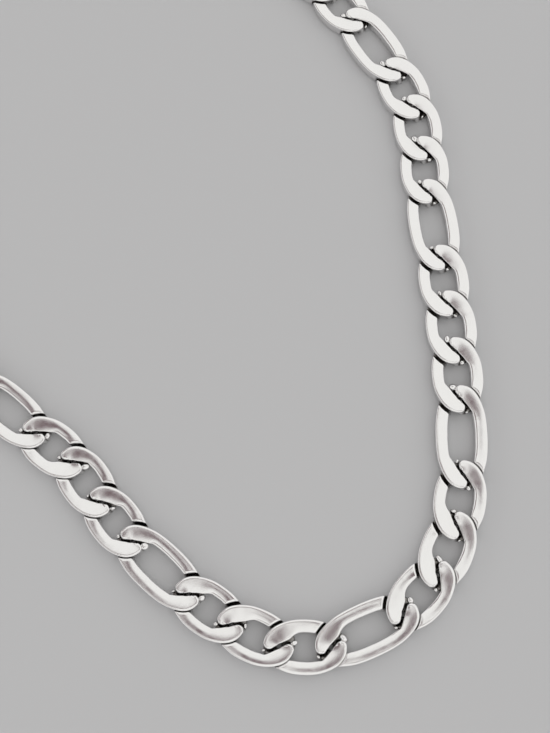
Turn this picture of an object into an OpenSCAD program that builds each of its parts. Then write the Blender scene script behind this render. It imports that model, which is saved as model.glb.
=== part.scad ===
// Figaro chain lying flat in a closed loop, clasp at the back.
// Repeats of three short links and one long link, each a flattened wire
// bent to an oval and twisted so that it threads through its neighbours.
// A link's own frame has x along the chain, y outwards from the loop and z up.
// At its start the outer arm lies over the neighbour and the inner arm under
// it, and at its end the inner arm lies over and the outer arm under.

/* [Chain] */
// Repeats of three short links and one long link
repeats = 15; // [12:1:18]
// Distance between the joints of a short link
short_pitch = 7.5; // [6:0.05:10]
// Distance between the joints of a long link
long_pitch = 11.25; // [9:0.05:16]
// Thickness over the ground faces, which is the height of the chain
chain_t = 2.1; // [1.6:0.05:3]

/* [Links] */
// Width of every link
link_w = 7.4; // [6.2:0.1:10]
// Width of the flattened wire, seen from above
wire_w = 1.5; // [1.2:0.05:2]
// Thickness of the flattened wire along the sides of a link
wire_t = 1.7; // [1.2:0.05:2.4]
// Free play between the end of a link and the wire of the next one
play = 1.2; // [0.8:0.05:1.6]
// How far each end spreads inwards where it is pressed over its neighbour
spread = 0.45; // [0:0.05:0.6]
// Width of the worn edges of the wire
worn_edge = 0.25; // [0.05:0.05:0.35]

/* [Joints] */
// Gap between two wires where one crosses over the other
crossing_gap = 0.2; // [0.1:0.05:0.4]
// How far the twist lifts the wire before its face is ground flat, in wire widths
lift_ratio = 1.2; // [1:0.05:1.6]
// Distance over which the wire dives from the upper to the lower side
dive = 0.65; // [0.4:0.05:1]

/* [Clasp] */
// Distance between the joints of the clasp
clasp_pitch = 18; // [14:0.5:24]
// How much thicker the clasp's outer arm is than the wire
clasp_belly = 1.4; // [0:0.1:2]

/* [Hidden] */
// Single links begin after this many, and there are this many of them
joined_first = 10;
singles = 40;
// Most links in one joined run
run_links = 5;
// Exponents of the ovals: 2 is an ellipse, more is squarer
short_oval = 2.2;
long_oval = 2.35;
clasp_oval = 2.6;
// The full lift is reached after this share of the way from the middle
lift_share = 0.74;
// Extra half thickness of the wire where it dives through the middle
dive_fill = 0.4;
// The clasp's thicker arm begins this many short half links from its end, and
// this share of what it is thicker stands outwards
belly_start = 0.9;
belly_outwards = 0.3;
// Sections round a link and round the clasp
link_rings = 24;
clasp_rings = 40;
// Samples of the route between two of its points
route_steps = 10;
// Solder spots of a joined run, inside the wires that they join
spot_r = 0.3;
spot_reach = 0.5;
spot_fn = 4;

// The route of the chain's middle line, clockwise from the clasp. The first
// and last points lie under the hidden stretch, which is a plain arch.
route = [
    [0, 113.5], [25, 106], [40, 82.5], [46, 49], [45, 16], [41.25, -7.75],
    [40.75, -28.25], [37.75, -45.75], [29, -59.5], [19.5, -74.75], [11, -87],
    [3.5, -96], [-2.25, -101], [-9.25, -104.5], [-15, -105.5],
    [-29, -101.5], [-32.5, -97.25], [-36, -90.25], [-38, -82.75],
    [-39.5, -72], [-39.5, -64.5], [-39.25, -55.75], [-41, -50.5],
    [-45.5, -24], [-47, 4], [-46.5, 43], [-40, 81.5], [-25, 106]
];

n_links = 4 * repeats;
link_over = 2 * wire_w + play;
mid_w = (link_w - wire_w) / 2;
lift = lift_ratio * wire_w;
reach = half_long(short_pitch);

function is_long(k) = k % 4 == 3;
function pitch(k) = is_long(k) ? long_pitch : short_pitch;
function oval(k) = is_long(k) ? long_oval : short_oval;
// Half the length of a link's middle line
function half_long(p) = (p + link_over - wire_w) / 2;

function smooth(q) = let (c = min(1, max(0, q))) c * c * (3 - 2 * c);
function steep(q) = (exp(2 * q) - 1) / (exp(2 * q) + 1);
function bell(q) = exp(-q * q);
function signed_pow(v, p) = sign(v) * pow(abs(v), p);
function unit(v) = v / norm(v);
function total(list) = [for (v = list) 1] * list;

// One smooth closed curve through the route's points
function between(a, b, c, d, t) =
    (2 * b + (c - a) * t + (2 * a - 5 * b + 4 * c - d) * t * t
        + (3 * b - a - 3 * c + d) * t * t * t) / 2;
function route_at(i, t) = let (n = len(route)) between(
    route[(i + n - 1) % n], route[i], route[(i + 1) % n], route[(i + 2) % n], t);
drawn = [
    for (i = [0 : len(route)]) for (j = [0 : route_steps - 1])
        if (i < len(route) || j == 0) route_at(i % len(route), j / route_steps)
];
drawn_steps = [for (i = [1 : len(drawn) - 1]) norm(drawn[i] - drawn[i - 1])];

// The route is scaled to the chain's own length and centred on the origin
chain_length = repeats * (3 * short_pitch + long_pitch) + clasp_pitch;
route_scale = chain_length / total(drawn_steps);
xs = [for (p = drawn) p[0]];
ys = [for (p = drawn) p[1]];
route_mid = [max(xs) + min(xs), max(ys) + min(ys)] / 2;
line = [for (p = drawn) (p - route_mid) * route_scale];
line_s = [
    for (i = 0, s = 0; i < len(line); s = s + norm(line[min(i + 1, len(line) - 1)] - line[i]),
        i = i + 1) s
];
along_x = [for (i = [0 : len(line) - 1]) [line_s[i], line[i][0]]];
along_y = [for (i = [0 : len(line) - 1]) [line_s[i], line[i][1]]];
function wrap(s) = s < 0 ? s + chain_length : s > chain_length ? s - chain_length : s;
function place(s) = [lookup(wrap(s), along_x), lookup(wrap(s), along_y)];

// Joint k comes before link k, and the last one comes before the clasp
function before(k) = floor(k / 4) * (3 * short_pitch + long_pitch) + (k % 4) * short_pitch;
function joint_at(k) = place(clasp_pitch / 2 + before(k));
function heading(k) = let (d = k < 0 || k >= n_links
        ? joint_at(0) - joint_at(n_links) : joint_at(k + 1) - joint_at(k)) atan2(d[1], d[0]);
function middle(k) = k < 0 ? (joint_at(0) + joint_at(n_links)) / 2
    : (joint_at(k + 1) + joint_at(k)) / 2;
function turn(k) = let (d = heading(k) - heading(k - 1)) d > 180 ? d - 360 : d < -180 ? d + 360 : d;

// One section of the wire: its middle lies on an oval, its flat faces are cut
// off at the ground faces, and where it crosses a neighbour it keeps to its
// own side of the crossing plane. The dive is square to the joint's own axis,
// which halves the turn between the two links.
function oval_at(i, rings, a, n) = let (t = 360 * i / rings)
    [a * signed_pow(cos(t), 2 / n), mid_w * signed_pow(sin(t), 2 / n)];
function wire_ring(i, rings, p, n, belly, turn_start, turn_end) = let (
        a = half_long(p),
        at = oval_at(i, rings, a, n),
        way = unit(oval_at(i + 1, rings, a, n) - oval_at(i - 1, rings, a, n)),
        out = [way[1], -way[0]],
        from_end = a - abs(at[0]),
        end = at[0] > 0 ? 1 : -1,
        half_turn = end * (end > 0 ? turn_end : turn_start) / 2,
        across = at[1] * cos(half_turn) - (at[0] - end * p / 2) * sin(half_turn),
        grown = smooth((1 - from_end / reach) / lift_share),
        height = -end * lift * grown * steep(across / dive),
        half_t = wire_t / 2 + dive_fill * bell(across) * grown,
        top = min(chain_t / 2, max(-crossing_gap / 2, height + half_t)),
        bottom = max(-chain_t / 2, min(crossing_gap / 2, height - half_t)),
        wide = at[1] > 0 ? belly * smooth(from_end / reach - belly_start) : 0,
        outer = wire_w / 2 + wide * belly_outwards,
        inner = wire_w / 2 + wide * (1 - belly_outwards) + spread * bell(from_end / wire_w - 1),
        edge = min(worn_edge, (top - bottom) / 3)
    ) [
        for (c = [[outer, top - edge], [outer - edge, top], [edge - inner, top], [-inner, top - edge],
                [-inner, bottom + edge], [edge - inner, bottom], [outer - edge, bottom],
                [outer, bottom + edge]])
            [at[0] + c[0] * out[0], at[1] + c[0] * out[1], chain_t / 2 + c[1]]
    ];

// A closed ring of sections, with two triangles between neighbouring corners
module wire_loop(rings, p, n, belly, turn_start, turn_end) {
    corners = 8;
    points = [
        for (i = [0 : rings - 1]) each wire_ring(i, rings, p, n, belly, turn_start, turn_end)
    ];
    faces = [
        for (i = [0 : rings - 1]) for (j = [0 : corners - 1])
            let (a = i * corners + j, b = (i + 1) % rings * corners + j,
                c = (i + 1) % rings * corners + (j + 1) % corners, d = i * corners + (j + 1) % corners)
                each [[a, c, b], [a, d, c]]
    ];
    polyhedron(points, faces);
}

module at_link(k) {
    translate([middle(k)[0], middle(k)[1], 0])
        rotate([0, 0, heading(k)])
            children();
}

module link(k) {
    color("gainsboro")
        at_link(k)
            wire_loop(link_rings, pitch(k), oval(k), 0, turn(k), turn(k + 1));
}

// Where two crossing wires meet, out from the joint's axis
crossing_out = mid_w * pow(1 - pow(short_pitch / 2 / reach, short_oval), 1 / short_oval);

module solder_spots(k) {
    axis = heading(k) - turn(k) / 2;
    for (side = [-1, 1])
        translate([joint_at(k)[0], joint_at(k)[1], chain_t / 2])
            rotate([0, 0, axis])
                translate([0, side * crossing_out, 0])
                    hull() {
                        translate([0, 0, -spot_reach])
                            cylinder(r = spot_r, h = 0.1, $fn = spot_fn);
                        translate([0, 0, spot_reach - 0.1])
                            cylinder(r = spot_r, h = 0.1, $fn = spot_fn);
                    }
}

// A run of links near the clasp, soldered to one another into one solid
module joined_run(first) {
    last = last_of(first);
    union() {
        for (k = [first : last])
            link(k);
        color("gainsboro")
            for (k = [first + 1 : last])
                solder_spots(k);
    }
}

// The clasp is a closed snap ring of the same wire with one thicker arm
module clasp() {
    color("gainsboro")
        at_link(-1)
            wire_loop(clasp_rings, clasp_pitch, clasp_oval, clasp_belly, turn(n_links), turn(0));
}

// Single links in the middle of the chain, joined runs on both sides of the clasp
singles_end = joined_first + singles;
single_links = [joined_first : singles_end - 1];
run_starts = concat(
    [for (k = [0 : run_links : joined_first - 1]) k],
    [for (k = singles_end; k < n_links; k = k + run_links) k]);
function last_of(first) = min(first + run_links, first < joined_first ? joined_first : n_links) - 1;
function link_name(k) = str(is_long(k) ? "long" : "short", "_link_", k + 1);
function run_name(first) = str("joined_links_", first + 1, "_to_", last_of(first) + 1);

clasp();
for (k = single_links)
    link(k);
for (first = run_starts)
    joined_run(first);
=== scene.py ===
import bpy
import numpy as np
from mathutils import Matrix


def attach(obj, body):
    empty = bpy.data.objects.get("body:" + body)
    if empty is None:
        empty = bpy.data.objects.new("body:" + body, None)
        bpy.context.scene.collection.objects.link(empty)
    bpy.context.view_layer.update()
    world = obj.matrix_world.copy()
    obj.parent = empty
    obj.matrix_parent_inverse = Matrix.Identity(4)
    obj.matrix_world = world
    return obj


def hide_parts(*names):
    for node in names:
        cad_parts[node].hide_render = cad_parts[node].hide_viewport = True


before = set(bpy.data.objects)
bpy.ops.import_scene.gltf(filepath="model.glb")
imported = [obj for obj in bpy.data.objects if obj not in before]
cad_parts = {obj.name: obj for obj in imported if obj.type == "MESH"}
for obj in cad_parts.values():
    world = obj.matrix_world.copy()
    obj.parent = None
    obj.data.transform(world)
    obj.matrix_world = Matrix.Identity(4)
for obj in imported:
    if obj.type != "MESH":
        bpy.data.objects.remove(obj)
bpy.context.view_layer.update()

# The links are lengths of flattened stainless steel wire, each bent to an
# oval, closed with a spot of weld and twisted so that it threads through its
# neighbours. Both faces of the chain are ground flat after it is linked.
LINK_WIDTH, WIRE_WIDTH, CHAIN_THICK = 0.0074, 0.0015, 0.0021
SHORT_PITCH, LONG_PITCH, CLASP_PITCH = 0.0075, 0.01125, 0.018
MIDDLE_Z = CHAIN_THICK / 2

# The free way between the end of a link and the wire of the next one.
PLAY = 0.0012

# The last link of each repeat is a long one.
LINKS, REPEAT = 60, 4

# The powers of the ovals. 2 is an ellipse, and more is squarer.
SHORT_OVAL, LONG_OVAL, CLASP_OVAL = 2.2, 2.35, 2.6

# The chain's middle line in millimetres, clockwise from the clasp, through the
# same points as the solids take.
ROUTE = np.array([
    (0, 113.5), (25, 106), (40, 82.5), (46, 49), (45, 16), (41.25, -7.75),
    (40.75, -28.25), (37.75, -45.75), (29, -59.5), (19.5, -74.75), (11, -87),
    (3.5, -96), (-2.25, -101), (-9.25, -104.5), (-15, -105.5),
    (-29, -101.5), (-32.5, -97.25), (-36, -90.25), (-38, -82.75),
    (-39.5, -72), (-39.5, -64.5), (-39.25, -55.75), (-41, -50.5),
    (-45.5, -24), (-47, 4), (-46.5, 43), (-40, 81.5), (-25, 106)])
ROUTE_STEPS = 10


def route_line():
    """A smooth closed curve through the route: each stretch is the cubic
    that leaves its first point along the line between that point's two
    neighbours, and reaches its last point in the same way. The curve is
    centred by its own box and scaled to the sum of all the pitches."""
    t = np.arange(ROUTE_STEPS)[:, None] / ROUTE_STEPS
    before, here, after, beyond = (np.roll(ROUTE, n, 0)[:, None] for n in (1, 0, -1, -2))
    curve = (2 * here + (after - before) * t
             + (2 * before - 5 * here + 4 * after - beyond) * t ** 2
             + (3 * here - before - 3 * after + beyond) * t ** 3) / 2
    curve = curve.reshape(-1, 2)
    curve = np.concatenate([curve, curve[:1]])
    drawn = np.linalg.norm(np.diff(curve, axis=0), axis=1).sum()
    length = LINKS / REPEAT * ((REPEAT - 1) * SHORT_PITCH + LONG_PITCH) + CLASP_PITCH
    return (curve - (curve.max(0) + curve.min(0)) / 2) * length / drawn


# Joint k comes before link k. The clasp is link number LINKS, and its own
# second half lies past the route's end, so the route's start is added there.
line = route_line()
line = np.concatenate([line, line[1:2 * ROUTE_STEPS]])
line_s = np.append(0, np.cumsum(np.linalg.norm(np.diff(line, axis=0), axis=1)))
is_long = np.arange(LINKS) % REPEAT == REPEAT - 1
pitches = np.append(np.where(is_long, LONG_PITCH, SHORT_PITCH), CLASP_PITCH)
ovals = np.append(np.where(is_long, LONG_OVAL, SHORT_OVAL), CLASP_OVAL)
joint_s = CLASP_PITCH / 2 + np.append(0, np.cumsum(pitches))
joints = np.stack([np.interp(joint_s, line_s, line[:, axis]) for axis in (0, 1)], 1)
middles = (joints[1:] + joints[:-1]) / 2
steps = joints[1:] - joints[:-1]
headings = np.arctan2(steps[:, 1], steps[:, 0])
turns = (headings - np.roll(headings, 1) + np.pi) % (2 * np.pi) - np.pi


def smooth(q):
    """The cubic 3q^2 - 2q^3 between 0 and 1, level outside them."""
    q = np.clip(q, 0, 1)
    return q * q * (3 - 2 * q)


def lesser(a, b, blend):
    """The lesser of two lengths, rounded over where they are about equal:
    (a + b - sqrt((a - b)^2 + blend^2)) / 2."""
    return (a + b - np.hypot(a - b, blend)) / 2


def half_long(pitch):
    """Half the length of the line along the middle of a link's wire: the
    pitch, the wire's width and the play, halved."""
    return (pitch + WIRE_WIDTH + PLAY) / 2


# Places along every link are given in shares of a short link's half length.
REACH = half_long(SHORT_PITCH)
RINGS, OVAL_SAMPLES = 200, 4001


def oval(pitch, power):
    """Points at even steps along the oval |x/a|^power + |y/b|^power = 1."""
    a, b = half_long(pitch), (LINK_WIDTH - WIRE_WIDTH) / 2
    u = np.linspace(0, 2 * np.pi, OVAL_SAMPLES)
    x = a * np.sign(np.cos(u)) * np.abs(np.cos(u)) ** (2 / power)
    y = b * np.sign(np.sin(u)) * np.abs(np.sin(u)) ** (2 / power)
    along = np.append(0, np.cumsum(np.hypot(np.diff(x), np.diff(y))))
    even = np.arange(RINGS) * along[-1] / RINGS
    return np.interp(even, along, x), np.interp(even, along, y)


# The worn edges of the wire: how wide they are outside, how deep for their
# width, and how high the stretches between them are crowned. ARC and FLAT are
# the points on a corner and on a stretch.
EDGE_OUTER, EDGE_DEEP, CROWN = 0.00042, 0.55, 0.00002
ARC, FLAT = 7, 3


def section(outer, inner, edge):
    """A rounded rectangle for every ring, four corners run round from the
    outer upper one. Each is a quarter of an ellipse, EDGE_DEEP times as deep
    as it is wide, in ARC points. FLAT points between two corners share out
    the straight way, and stand out by the crown 4 share (1 - share) CROWN.
    outer and inner are how far the corners stand out and in from the ring's
    middle, and edge is how wide the inner ones are.
    Returns how far out each point lies, how deep it is sunk in from its
    face, and its share of the upper face, 1 above and 0 below."""
    side, level = np.array([1, -1, -1, 1]), np.array([1, 1, -1, -1])
    radius = np.where(side > 0, EDGE_OUTER, edge)
    centre = side * (np.where(side > 0, outer, inner) - radius)
    n = np.repeat(np.arange(4), ARC + FLAT)
    after = (n + 1) % 4
    angle = np.pi / 2 * (n + np.tile(np.append(np.linspace(0, 1, ARC), np.ones(FLAT)), 4))
    c, s = np.cos(angle), np.sin(angle)
    share = np.tile(np.append(np.zeros(ARC), np.arange(1, FLAT + 1) / (FLAT + 1)), 4)
    bulge = CROWN * 4 * share * (1 - share)
    here, there = radius[:, n], radius[:, after]
    out_here, out_there = centre[:, n] + here * c, centre[:, after] + there * c
    deep_here, deep_there = here * (1 - level[n] * s), there * (1 - level[after] * s)
    out = out_here * (1 - share) + out_there * share + bulge * c
    sunk = EDGE_DEEP * (deep_here * (1 - share) + deep_there * share) - bulge * np.abs(s)
    upper = (1 + level[n] * (1 - share) + level[after] * share) / 2
    return out, sunk, upper


def joint_axes(x, y, end, turn):
    """A step from a joint seen along the joint's own axes, which halve the
    turn there: past the joint, and across to the side where this link runs
    low. It is the step turned by half the turn, mirrored at the start."""
    u = end * x
    cos, sin = np.cos(turn / 2), np.sin(turn / 2)
    return u * cos + y * sin, end * (y * cos - u * sin)


def in_place(k, x, y, z):
    """Points of link k's own frame in the chain, in rows of x, y and z: they
    are turned by its heading and moved to its middle."""
    cos, sin = np.cos(headings[k]), np.sin(headings[k])
    at_x, at_y = middles[k, 0] + x * cos - y * sin, middles[k, 1] + x * sin + y * cos
    return np.stack(np.broadcast_arrays(at_x, at_y, z), -1).reshape(-1, 3)


# The slit between two paddles: its width on the upper and the lower face, and
# its slope across the joint. A way inwards that hardly nears it still counts
# as nearing it at LEAST_RATE.
SLIT, SLIT_BELOW, SLIT_SLOPE, LEAST_RATE = 0.00045, 0.00002, 0.78, 0.2


def to_slit(side, slit, place, way):
    """How far inwards the edge may reach before it meets the slit, the line
    across = SLIT_SLOPE * past on the upper side, mirrored on the lower: the
    room left at a place, divided by the rate at which it grows outwards."""
    past, across = place
    way_past, way_across = way
    room = -side * across + SLIT_SLOPE * past - slit / 2
    rate = -side * way_across + SLIT_SLOPE * way_past
    return room / np.maximum(rate, LEAST_RATE)


# A high end runs TIP_PAST over the joint's axis in the middle of its width and
# TIP_ROUND less at its edges, and it narrows over TIP_LONG.
TIP_PAST, TIP_ROUND, TIP_LONG = 0.00055, 0.00045, 0.0006

# The grinding spreads a high end inwards into a paddle, widest SPREAD_AT from
# the link's end. SPREAD_BLEND rounds it where it meets the slit, and
# ROOM_BLEND where the slit leaves no room.
SPREAD, SPREAD_AT, SPREAD_LONG = 0.00125, 0.0015, 0.0017
SPREAD_BLEND, ROOM_BLEND = 0.0002, 0.00005

# The arms are broader than the wire, and their inner edges are more worn than
# a paddle's.
SWELL_OUT, SWELL_IN, SWELL_FROM, SWELL_OVER = 0.00008, 0.00022, 0.3, 0.45
EDGE_PADDLE, EDGE_ARM, EDGE_RATE, EDGE_WAIT = 0.00014, 0.0005, 2.2, 0.9

# A thicker outer arm begins BELLY_START of REACH from its end, and BELLY_OUT is
# the share of it that stands outwards.
BELLY_START, BELLY_OUT = 0.9, 0.3


def wire_widths(from_end, is_outer, place, way, belly):
    """How far every ring of the wire stands out and in from its middle, and
    how wide its inner edges are worn.

    Both arms swell by the smooth step, and the outer one is belly thicker.
    A face that is high spreads inwards as the bell exp(-(distance /
    SPREAD_LONG)^2), as far as the slit leaves room. The inner widths have
    two columns for the upper face and two for the lower one."""
    thicker = np.where(is_outer, belly * smooth(from_end / REACH - BELLY_START), 0)
    swell = smooth((from_end / REACH - SWELL_FROM) / SWELL_OVER)
    outer = WIRE_WIDTH / 2 + thicker * BELLY_OUT + SWELL_OUT * swell
    arm_inner = WIRE_WIDTH / 2 + thicker * (1 - BELLY_OUT) + SWELL_IN * swell
    spread = SPREAD * np.exp(-((from_end - SPREAD_AT) / SPREAD_LONG) ** 2)
    inner_edges = []
    for side, slit in ((1, SLIT), (-1, SLIT_BELOW)):
        ended = smooth((side * place[1] - TIP_PAST) / TIP_LONG)
        free = to_slit(side, slit, place, way) - WIRE_WIDTH / 2
        room = lesser(spread, free, SPREAD_BLEND) * (1 - ended)
        inner_edges.append(arm_inner - lesser(0, -room, ROOM_BLEND))
    inner = np.repeat(np.hstack(inner_edges), 2, 1)
    along_arm = smooth(EDGE_RATE * from_end / REACH - EDGE_WAIT)
    return outer, inner, EDGE_PADDLE + (EDGE_ARM - EDGE_PADDLE) * along_arm


# With these nothing is divided by zero near the neighbour's middle.
LEAST_OUTLINE, LEAST_SLOPE = 0.01, 1


def past_outline(k, end, turn, px, py):
    """How far points of link k lie outside the neighbour at their end. The
    number b = (|x/a|^p + |y/w|^p)^(1/p) in the neighbour's own frame is 1
    on its outline, and the distance is about b - 1 over the slope of b."""
    other = np.where(end > 0, k + 1, k - 1) % len(pitches)
    pitch, power = pitches[other], ovals[other]
    a, w = half_long(pitch) + WIRE_WIDTH / 2, LINK_WIDTH / 2
    cos, sin = np.cos(turn), np.sin(turn)
    dx, dy = px - end * (pitches[k] + pitch * cos) / 2, py - pitch * sin / 2
    x, y = np.abs((dx * cos + end * dy * sin) / a), np.abs((dy * cos - end * dx * sin) / w)
    x_rise, y_rise = x ** (power - 1), y ** (power - 1)
    b = (x_rise * x + y_rise * y) ** (1 / power)
    slope = np.hypot(x_rise / a, y_rise / w) / np.maximum(b, LEAST_OUTLINE) ** (power - 1)
    return (b - 1) / np.maximum(slope, LEAST_SLOPE)


# The twist would take a wire LIFT up and down within DIVE, but it is ground
# off at the face and stays CROSSING clear of the wire that it crosses. The
# dive ends a gap off the neighbour's outline, over SEAT_LONG.
FACE = CHAIN_THICK / 2 - CROWN
LIFT, DIVE, CROSSING = 0.0018, 0.0005, 0.0002
SEAT_GAP_START, SEAT_GAP_END, SEAT_LONG = 0.0002, -0.00012, 0.0004

# The upper face leans inwards by the slope TILT, less along an arm and least at
# a low end, and both faces dip along an arm.
TILT, TILT_FADE, TILT_RATE, ARM_DIP = 0.114, 0.25, 1.5, 0.00006

# Each link lies a little askew, by one slope along it and one across it.
ASKEW = 0.006
vary = np.random.default_rng(5)
lay = vary.normal(0, ASKEW, (LINKS + 1, 2))


def wire_faces(k, x, end, turn, outer, inner, out, px, py):
    """How high the upper and the lower face of link k lie over the chain's
    middle at its points, and how high they lie where they are level.

    Inside the next link's outline the upper face drops to the crossing
    plane as LIFT * tanh((tip - across) / DIVE), and the lower face mirrors
    that. The upper face leans inwards, and by the link's own two slopes."""
    half_length = half_long(pitches[k])
    across = joint_axes(px - end * pitches[k] / 2, py, end, turn)[1]
    share_out = np.clip((out + inner[:, :1]) / (outer + inner[:, :1]), 0, 1)
    tip = TIP_PAST - TIP_ROUND * (2 * share_out - 1) ** 2
    lean = np.tanh((across - TIP_PAST) / TIP_LONG) * smooth(np.abs(x) / half_length * TILT_RATE)
    tilt = TILT * (outer - out) * (1 - TILT_FADE - TILT_FADE * lean)
    slope_x, slope_y = lay[k]
    askew = slope_x * px - np.abs(slope_x) * half_length
    askew = askew + slope_y * py - np.abs(slope_y) * LINK_WIDTH / 2
    level = FACE - ARM_DIP * smooth((half_length - np.abs(x)) / REACH)
    highest = level + askew - tilt * (across < tip)
    above = np.clip(LIFT * np.tanh((tip - across) / DIVE) + FACE, -CROSSING / 2, highest)
    below = -np.clip(LIFT * np.tanh((tip + across) / DIVE) + FACE, -CROSSING / 2, level)

    seat_gap = np.where(end > 0, SEAT_GAP_END, SEAT_GAP_START)
    apart = smooth((past_outline(k, end, turn, px, py) - seat_gap) / SEAT_LONG)
    above = above + (level + askew - tilt - above) * apart
    below = below + (-level - below) * apart
    return above, below, level


# Painted shade: the steel is darkened in the joints, where shade falls. It
# begins at SHADE_START of SHADE_DEPTH below a face. On the inner wall it begins
# SHADE_FROM of REACH off a short link's middle, and is full at twice that.
SHADE_DEPTH, SHADE_START, SHADE_FROM = 0.0005, 0.5, 0.3


def painted_joint_shade(above, below, level, from_end, out, upper):
    """How much painted shade each point gets in a joint, from 0 to 1, standing
    for the shade that falls there: the smooth step of how deep its face has
    dived, or on the inner wall, of how near to the link's end it is."""
    painted_shade = smooth((level - above) / SHADE_DEPTH - SHADE_START) * upper
    painted_shade = painted_shade + smooth((below + level) / SHADE_DEPTH - SHADE_START) * (1 - upper)
    near_end = smooth((1 - from_end / REACH - SHADE_FROM) / SHADE_FROM)
    inner_wall = (1 - np.abs(2 * upper - 1)) * near_end * (out < 0)
    return np.clip(np.maximum(painted_shade, inner_wall), 0, 1)


def link_points(k, belly=0):
    """The surface of closed link k as rings of section points, in place: the
    section is carried round the oval, square to it, and each point lies
    between its two faces by its share of the upper one. belly is how much
    thicker the outer arm is. Also returns how much painted shade each point
    gets in the joints, from 0 to 1."""
    x, y = oval(pitches[k], ovals[k])
    forward = x > 0
    end = np.where(forward, 1.0, -1.0)[:, None]
    turn = np.where(forward, turns[(k + 1) % len(pitches)], turns[k])[:, None]
    way_x, way_y = np.roll(x, -1) - np.roll(x, 1), np.roll(y, -1) - np.roll(y, 1)
    out_x, out_y = (np.array([way_y, -way_x]) / np.hypot(way_x, way_y))[:, :, None]
    x, y = x[:, None], y[:, None]
    from_end = half_long(pitches[k]) - np.abs(x)
    place = joint_axes(x - end * pitches[k] / 2, y, end, turn)
    way = joint_axes(out_x, out_y, end, turn)

    outer, inner, edge = wire_widths(from_end, y > 0, place, way, belly)
    out, sunk, upper = section(outer, inner, edge)
    px, py = x + out * out_x, y + out * out_y
    above, below, level = wire_faces(k, x, end, turn, outer, inner, out, px, py)
    z = (above - sunk) * upper + (below + sunk) * (1 - upper)
    # The painted shade of the joints, darkest where a face dives under its neighbour.
    joint_shade = painted_joint_shade(above, below, level, from_end, out, upper)
    return in_place(k, px, py, z + MIDDLE_Z), joint_shade.ravel()


def closed_rings(points):
    """Four-sided faces between neighbouring points of neighbouring rings,
    closed both round each ring and from the last ring to the first."""
    per_ring = len(points) // RINGS
    i, j = np.meshgrid(np.arange(RINGS), np.arange(per_ring), indexing="ij")
    i2, j2 = (i + 1) % RINGS, (j + 1) % per_ring
    corners = [i * per_ring + j, i2 * per_ring + j, i2 * per_ring + j2, i * per_ring + j2]
    return np.stack(corners, 2).reshape(-1, 4)


# Each link is closed with weld, and a knob of it stands in the hole beside
# each paddle: past the joint, across it, and over the chain's middle by a share
# of the knob's own radius.
LUMP_ROWS, LUMP_COLUMNS = 9, 14
LUMP_PAST, LUMP_ACROSS, LUMP_LIFT = 0.0019, 0.0009, 0.5
LUMP_START, LUMP_END = 0.0005, 0.00027
LUMP_WAVE_ROUND, LUMP_WAVE_DOWN, LUMP_PHASE = 0.1, 0.08, 2.4

# The knobs vary in radius, in how far they are drawn out and in which way, in
# radians. Each table has a column for the start and one for the end of a link,
# and LUMP_SHIFT places one of the largest at the front bend of the loop.
LUMP_VARIES, LUMP_LEAST, LUMP_MOST, LUMP_SHIFT = 0.2, 0.6, 1.35, 2
LUMP_DRAWN, LUMP_WAY = (0.8, 1.3), (0.3, 1.7)
lump_sizes = np.clip(vary.normal(1, LUMP_VARIES, (LINKS + 1, 2)), LUMP_LEAST, LUMP_MOST)
lump_sizes = np.roll(lump_sizes * (LUMP_START, LUMP_END), LUMP_SHIFT, 0)
lump_drawn = vary.uniform(*LUMP_DRAWN, (LINKS + 1, 2))
lump_way = vary.uniform(*LUMP_WAY, (LINKS + 1, 2))


def lump_points(k, end):
    """A knob of weld beside the tip at one end of a link: a sphere whose
    radius swells with two waves round it and one and a half from pole to
    pole, drawn out along one direction and narrowed across it."""
    size, drawn, way = (table[k, int(end > 0)] for table in (lump_sizes, lump_drawn, lump_way))
    phase = LUMP_PHASE * k + end
    theta = np.linspace(0, np.pi, LUMP_ROWS + 2)[1:-1, None]
    phi = np.arange(LUMP_COLUMNS) * 2 * np.pi / LUMP_COLUMNS
    waves = LUMP_WAVE_ROUND * np.sin(2 * phi + phase) * np.sin(theta)
    radius = size * (1 + waves + LUMP_WAVE_DOWN * np.cos(3 * theta + phase))
    along = radius * np.cos(phi) * np.sin(theta) * drawn
    aside = radius * np.sin(phi) * np.sin(theta) / np.sqrt(drawn)
    past = np.append(along * np.cos(way) - aside * np.sin(way), [0, 0]) + LUMP_PAST
    across = np.append(along * np.sin(way) + aside * np.cos(way), [0, 0]) + LUMP_ACROSS
    z = np.append(radius * np.cos(theta), [radius[0, 0], -radius[-1, 0]])
    turn = (turns[(k + 1) % len(pitches)] if end > 0 else turns[k]) / 2
    u = past * np.cos(turn) - end * across * np.sin(turn)
    y = past * np.sin(turn) + end * across * np.cos(turn)
    return in_place(k, end * (u + pitches[k] / 2), y, z + MIDDLE_Z + size * LUMP_LIFT)


def lump_faces():
    """Three-sided faces of the lump's grid, and a fan round each pole."""
    i, j = np.meshgrid(np.arange(LUMP_ROWS - 1), np.arange(LUMP_COLUMNS), indexing="ij")
    after = (j + 1) % LUMP_COLUMNS
    a, b = i * LUMP_COLUMNS + j, i * LUMP_COLUMNS + after
    c, d = a + LUMP_COLUMNS, b + LUMP_COLUMNS
    first, next_first = j[0], after[0]
    last = (LUMP_ROWS - 1) * LUMP_COLUMNS + first
    next_last = (LUMP_ROWS - 1) * LUMP_COLUMNS + next_first
    top = np.full(LUMP_COLUMNS, LUMP_ROWS * LUMP_COLUMNS)
    fans = [(top, first, next_first), (top + 1, next_last, last)]
    return np.concatenate([np.stack(f, -1).reshape(-1, 3) for f in [(a, c, d), (a, d, b), *fans]])
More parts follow.
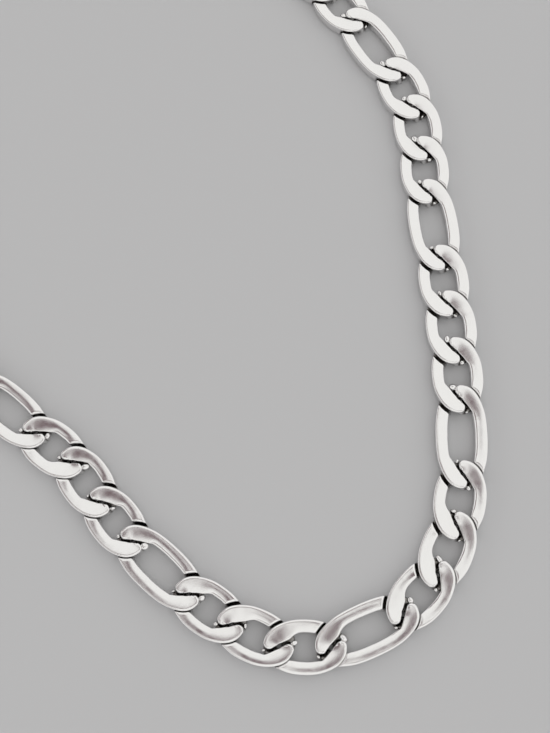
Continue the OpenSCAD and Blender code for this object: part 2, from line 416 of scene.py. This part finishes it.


# The patterns' scales are to the metre, and their depths are in metres.
# The second colour is painted shade, laid into the joints where shade falls.
STEEL, SHADE_COLOUR = (0.85, 0.84, 0.835), (0.2, 0.19, 0.18)
HAZE_SCALE, HAZE_DETAIL, HAZE_SPAN, HAZE_ROUGH = 900, 3, (0.3, 0.7), (0.12, 0.19)
PATCH_SCALE, PATCH_DETAIL, PATCH_AMOUNT = 2500, 3, (0.75, 1.15)
SCRATCH_SCALE, SCRATCH_DETAIL, SCRATCH_STRETCH, SCRATCH_TURNED = 1500, 4, (1, 9, 1), 0.6
SCRATCH_DEEP, SCRATCH_STRENGTH = 0.00002, 0.15
WAVE_SCALE, WAVE_DETAIL = 350, 1
WAVE_DEEP, WAVE_STRENGTH = 0.0001, 0.25

# The colour sockets of Blender's Mix node, which share their names with others.
MIX_FIRST, MIX_SECOND, MIX_RESULT = 6, 7, 2


def polished_steel():
    """Polished stainless steel with a brushed haze, fine scratches from the
    grinding wheel and slight waves, all on Object coordinates, and painted
    shade in patches where the attribute painted_shade marks the shaded joints:
    colour = steel + (shade - steel) * painted_shade * patches."""
    material = bpy.data.materials.new("polished steel")
    material.use_nodes = True
    nodes, links = material.node_tree.nodes, material.node_tree.links
    shader = nodes["Principled BSDF"]
    shader.inputs["Metallic"].default_value = 1.0
    place = nodes.new("ShaderNodeTexCoord")

    def noise(scale, detail, stretch=(1, 1, 1), turned=0.0):
        """Noise on Object coordinates, turned about Z and stretched."""
        mapping = nodes.new("ShaderNodeMapping")
        mapping.inputs["Rotation"].default_value = (0, 0, turned)
        mapping.inputs["Scale"].default_value = stretch
        links.new(place.outputs["Object"], mapping.inputs["Vector"])
        texture = nodes.new("ShaderNodeTexNoise")
        texture.inputs["Scale"].default_value = scale
        texture.inputs["Detail"].default_value = detail
        links.new(mapping.outputs["Vector"], texture.inputs["Vector"])
        return texture.outputs["Fac"]

    def ramp(value, low, high, start=0.0, end=1.0):
        """The value spread from low to high, clamped outside start to end."""
        spread = nodes.new("ShaderNodeMapRange")
        links.new(value, spread.inputs["Value"])
        spread.inputs["From Min"].default_value = start
        spread.inputs["From Max"].default_value = end
        spread.inputs["To Min"].default_value = low
        spread.inputs["To Max"].default_value = high
        return spread.outputs["Result"]

    def bump(height, deep, strength):
        """A bump of the height times deep, at a strength from 0 to 1."""
        node = nodes.new("ShaderNodeBump")
        node.inputs["Distance"].default_value = deep
        node.inputs["Strength"].default_value = strength
        links.new(height, node.inputs["Height"])
        return node

    haze = noise(HAZE_SCALE, HAZE_DETAIL)
    links.new(ramp(haze, *HAZE_ROUGH, *HAZE_SPAN), shader.inputs["Roughness"])

    # The attribute darkens the steel with painted shade in the joints.
    painted_shade = nodes.new("ShaderNodeAttribute")
    painted_shade.attribute_name = "painted_shade"
    amount = nodes.new("ShaderNodeMath")
    amount.operation = "MULTIPLY"
    amount.use_clamp = True
    links.new(painted_shade.outputs["Fac"], amount.inputs[0])
    links.new(ramp(noise(PATCH_SCALE, PATCH_DETAIL), *PATCH_AMOUNT), amount.inputs[1])
    colour = nodes.new("ShaderNodeMix")
    colour.data_type = "RGBA"
    colour.inputs[MIX_FIRST].default_value = (*STEEL, 1)
    colour.inputs[MIX_SECOND].default_value = (*SHADE_COLOUR, 1)
    links.new(amount.outputs["Value"], colour.inputs["Factor"])
    links.new(colour.outputs[MIX_RESULT], shader.inputs["Base Color"])

    scratches = noise(SCRATCH_SCALE, SCRATCH_DETAIL, SCRATCH_STRETCH, SCRATCH_TURNED)
    broad = bump(noise(WAVE_SCALE, WAVE_DETAIL), WAVE_DEEP, WAVE_STRENGTH)
    fine = bump(scratches, SCRATCH_DEEP, SCRATCH_STRENGTH)
    links.new(broad.outputs["Normal"], fine.inputs["Normal"])
    links.new(fine.outputs["Normal"], shader.inputs["Normal"])
    return material


steel = polished_steel()


def steel_piece(node, numbers, belly=0):
    """One mesh of closed wire loops with their weld, for a solid of the
    frame. The clasp has no weld."""
    points, painted_shade, faces, count = [], [], [], 0
    for k in numbers:
        loop, deep = link_points(k, belly)
        parts = [(loop, deep, closed_rings(loop))]
        if k < LINKS:
            lumps = [lump_points(k, end) for end in (-1, 1)]
            parts += [(lump, np.zeros(len(lump)), lump_faces()) for lump in lumps]
        for part_points, part_shade, part_faces in parts:
            points.append(part_points)
            painted_shade.append(part_shade)
            faces += (part_faces + count).tolist()
            count += len(part_points)
    mesh = bpy.data.meshes.new("steel_" + node)
    mesh.from_pydata(np.concatenate(points), [], faces)
    # The attribute carries the painted shade of the joints, none on the weld.
    attribute = mesh.attributes.new("painted_shade", "FLOAT", "POINT")
    attribute.data.foreach_set("value", np.concatenate(painted_shade))
    mesh.polygons.foreach_set("use_smooth", np.ones(len(faces), bool))
    mesh.materials.append(steel)
    piece = bpy.data.objects.new("steel_" + node, mesh)
    bpy.context.collection.objects.link(piece)
    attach(piece, "root")
    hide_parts(node)


# The forty links round the front of the loop are each free of the others.
FIRST_SINGLE, SINGLES = 10, 40
for k in range(FIRST_SINGLE, FIRST_SINGLE + SINGLES):
    steel_piece(f"{'long' if is_long[k] else 'short'}_link_{k + 1}", [k])

# The ten links on each side of the clasp are the same wire links. They lie in
# runs of five, each run joined by spots of solder where the wires cross.
RUN = 5
for first in (0, RUN, LINKS - 2 * RUN, LINKS - RUN):
    steel_piece(f"joined_links_{first + 1}_to_{first + RUN}", range(first, first + RUN))

# The clasp is a long snap ring of the same steel, closed, with a thicker
# outer arm that holds its spring. It is threaded as the links are.
CLASP_BELLY = 0.0014
steel_piece("clasp", [LINKS], CLASP_BELLY)

# The floor is a plain pale sheet, matt and level. The chain lies on it, and
# nothing fixes it there.
FLOOR_SIZE = 1.6
FLOOR_COLOUR, FLOOR_ROUGH = (0.55, 0.55, 0.56), 0.8
half = FLOOR_SIZE / 2
floor_corners = [(-half, -half, 0), (half, -half, 0), (half, half, 0), (-half, half, 0)]
floor_mesh = bpy.data.meshes.new("floor")
floor_mesh.from_pydata(floor_corners, [], [(0, 1, 2, 3)])
floor = bpy.data.objects.new("floor", floor_mesh)
bpy.context.collection.objects.link(floor)
floor_paint = bpy.data.materials.new("pale floor")
floor_paint.use_nodes = True
floor_shader = floor_paint.node_tree.nodes["Principled BSDF"]
floor_shader.inputs["Base Color"].default_value = (*FLOOR_COLOUR, 1)
floor_shader.inputs["Roughness"].default_value = FLOOR_ROUGH
floor_mesh.materials.append(floor_paint)

# The camera looks steeply down at the front bend of the loop, turned so that
# the clasp lies far off to the upper left, past the picture's edge.
PICTURE = (550, 733)
FOCAL_PIXELS = 1100
CAMERA_AT = (-0.0298, -0.1115, 0.15945)
ELEVATION, DIRECTION, ROLL = 73.15, 60.78, -10.44
NEAREST = 0.005


def look(elevation, direction, roll):
    """Camera axes: forward from the elevation below the horizon and the
    compass direction, right and up turned by the roll about forward."""
    e, d, r = np.radians([elevation, direction, roll])
    forward = np.array([np.cos(e) * np.cos(d), np.cos(e) * np.sin(d), -np.sin(e)])
    level = np.array([np.sin(d), -np.cos(d), 0])
    over = np.cross(level, forward)
    right = level * np.cos(r) + over * np.sin(r)
    up = np.cross(right, forward)
    return np.stack([right, up, -forward], 1)


camera_data = bpy.data.cameras.new("camera")
camera_data.lens = FOCAL_PIXELS / max(PICTURE) * camera_data.sensor_width
camera_data.clip_start = NEAREST
camera = bpy.data.objects.new("camera", camera_data)
camera_axes = Matrix(look(ELEVATION, DIRECTION, ROLL).tolist()).to_4x4()
camera.matrix_world = Matrix.Translation(CAMERA_AT) @ camera_axes
bpy.context.collection.objects.link(camera)
bpy.context.scene.camera = camera

# Soft studio light: a white tent overhead that dims towards the horizon, with
# dim openings in it that the leaning paddles and the worn edges mirror.
TENT, HORIZON = (0.97, 0.97, 0.95), (0.8, 0.8, 0.82)
HORIZON_FROM, HORIZON_TO = 0.0, 0.5
OPENING_DIM, OPENING_BLUR = (0.16, 0.11, 0.12), 0.32

# The compass direction of the picture's right, and each opening in degrees: to
# the picture's right of straight overhead and up from it, the turn of its long
# axis, and its half length and half width. Its half height, as a share of the
# sky's radius, is so large that height hardly counts.
PICTURE_RIGHT = -39.7
OPENINGS = [(-4, 6.5, 0, 6, 5.5), (-17.5, 1.5, -41, 12.5, 5), (9, -6, 0, 6.5, 5.5),
            (-33, -18, -60, 25, 5), (-34, 24, -90, 26, 7)]
OPENING_TALL = 2
world = bpy.data.worlds.new("tent")
world.use_nodes = True
nodes, links = world.node_tree.nodes, world.node_tree.links
sky = nodes.new("ShaderNodeTexCoord")


def fade(value, start, end):
    """A smooth step of the value from 0 at start to 1 at end."""
    step = nodes.new("ShaderNodeMapRange")
    step.interpolation_type = "SMOOTHSTEP"
    step.inputs["From Min"].default_value = start
    step.inputs["From Max"].default_value = end
    links.new(value, step.inputs["Value"])
    return step.outputs["Result"]


def blend(share, without, full):
    """The first colour with a share of the second mixed in. The second is a
    plain value or an output."""
    mix = nodes.new("ShaderNodeMix")
    mix.data_type = "RGBA"
    links.new(share, mix.inputs["Factor"])
    mix.inputs[MIX_FIRST].default_value = (*without, 1)
    if isinstance(full, tuple):
        mix.inputs[MIX_SECOND].default_value = (*full, 1)
    else:
        links.new(full, mix.inputs[MIX_SECOND])
    return mix.outputs[MIX_RESULT]


def opening_edge(to_right, to_up, slant, half_length, half_width):
    """A sky direction's distance from an opening's middle, 1 at its rim: the
    direction less the middle, turned to its axes, over its half sizes."""
    compass = np.radians(PICTURE_RIGHT) + np.arctan2(to_up, to_right)
    off_zenith = np.radians(np.hypot(to_right, to_up))
    level = np.sin(off_zenith) * np.array([np.cos(compass), np.sin(compass)])
    half_sizes = np.sin(np.radians([half_length, half_width]))
    into = nodes.new("ShaderNodeMapping")
    into.vector_type = "TEXTURE"
    into.inputs["Location"].default_value = (*level, np.cos(off_zenith))
    into.inputs["Rotation"].default_value = (0, 0, np.radians(PICTURE_RIGHT + slant))
    into.inputs["Scale"].default_value = (*half_sizes, OPENING_TALL)
    links.new(sky.outputs["Generated"], into.inputs["Vector"])
    off = nodes.new("ShaderNodeVectorMath")
    off.operation = "LENGTH"
    links.new(into.outputs["Vector"], off.inputs[0])
    return off.outputs["Value"]


overhead = TENT
for opening in OPENINGS:
    outside = fade(opening_edge(*opening), 1 - OPENING_BLUR, 1 + OPENING_BLUR)
    overhead = blend(outside, OPENING_DIM, overhead)
height = nodes.new("ShaderNodeSeparateXYZ")
links.new(sky.outputs["Generated"], height.inputs[0])
tent = blend(fade(height.outputs["Z"], HORIZON_FROM, HORIZON_TO), HORIZON, overhead)
links.new(tent, nodes["Background"].inputs["Color"])
bpy.context.scene.world = world
bpy.context.scene.view_settings.view_transform = "Standard"
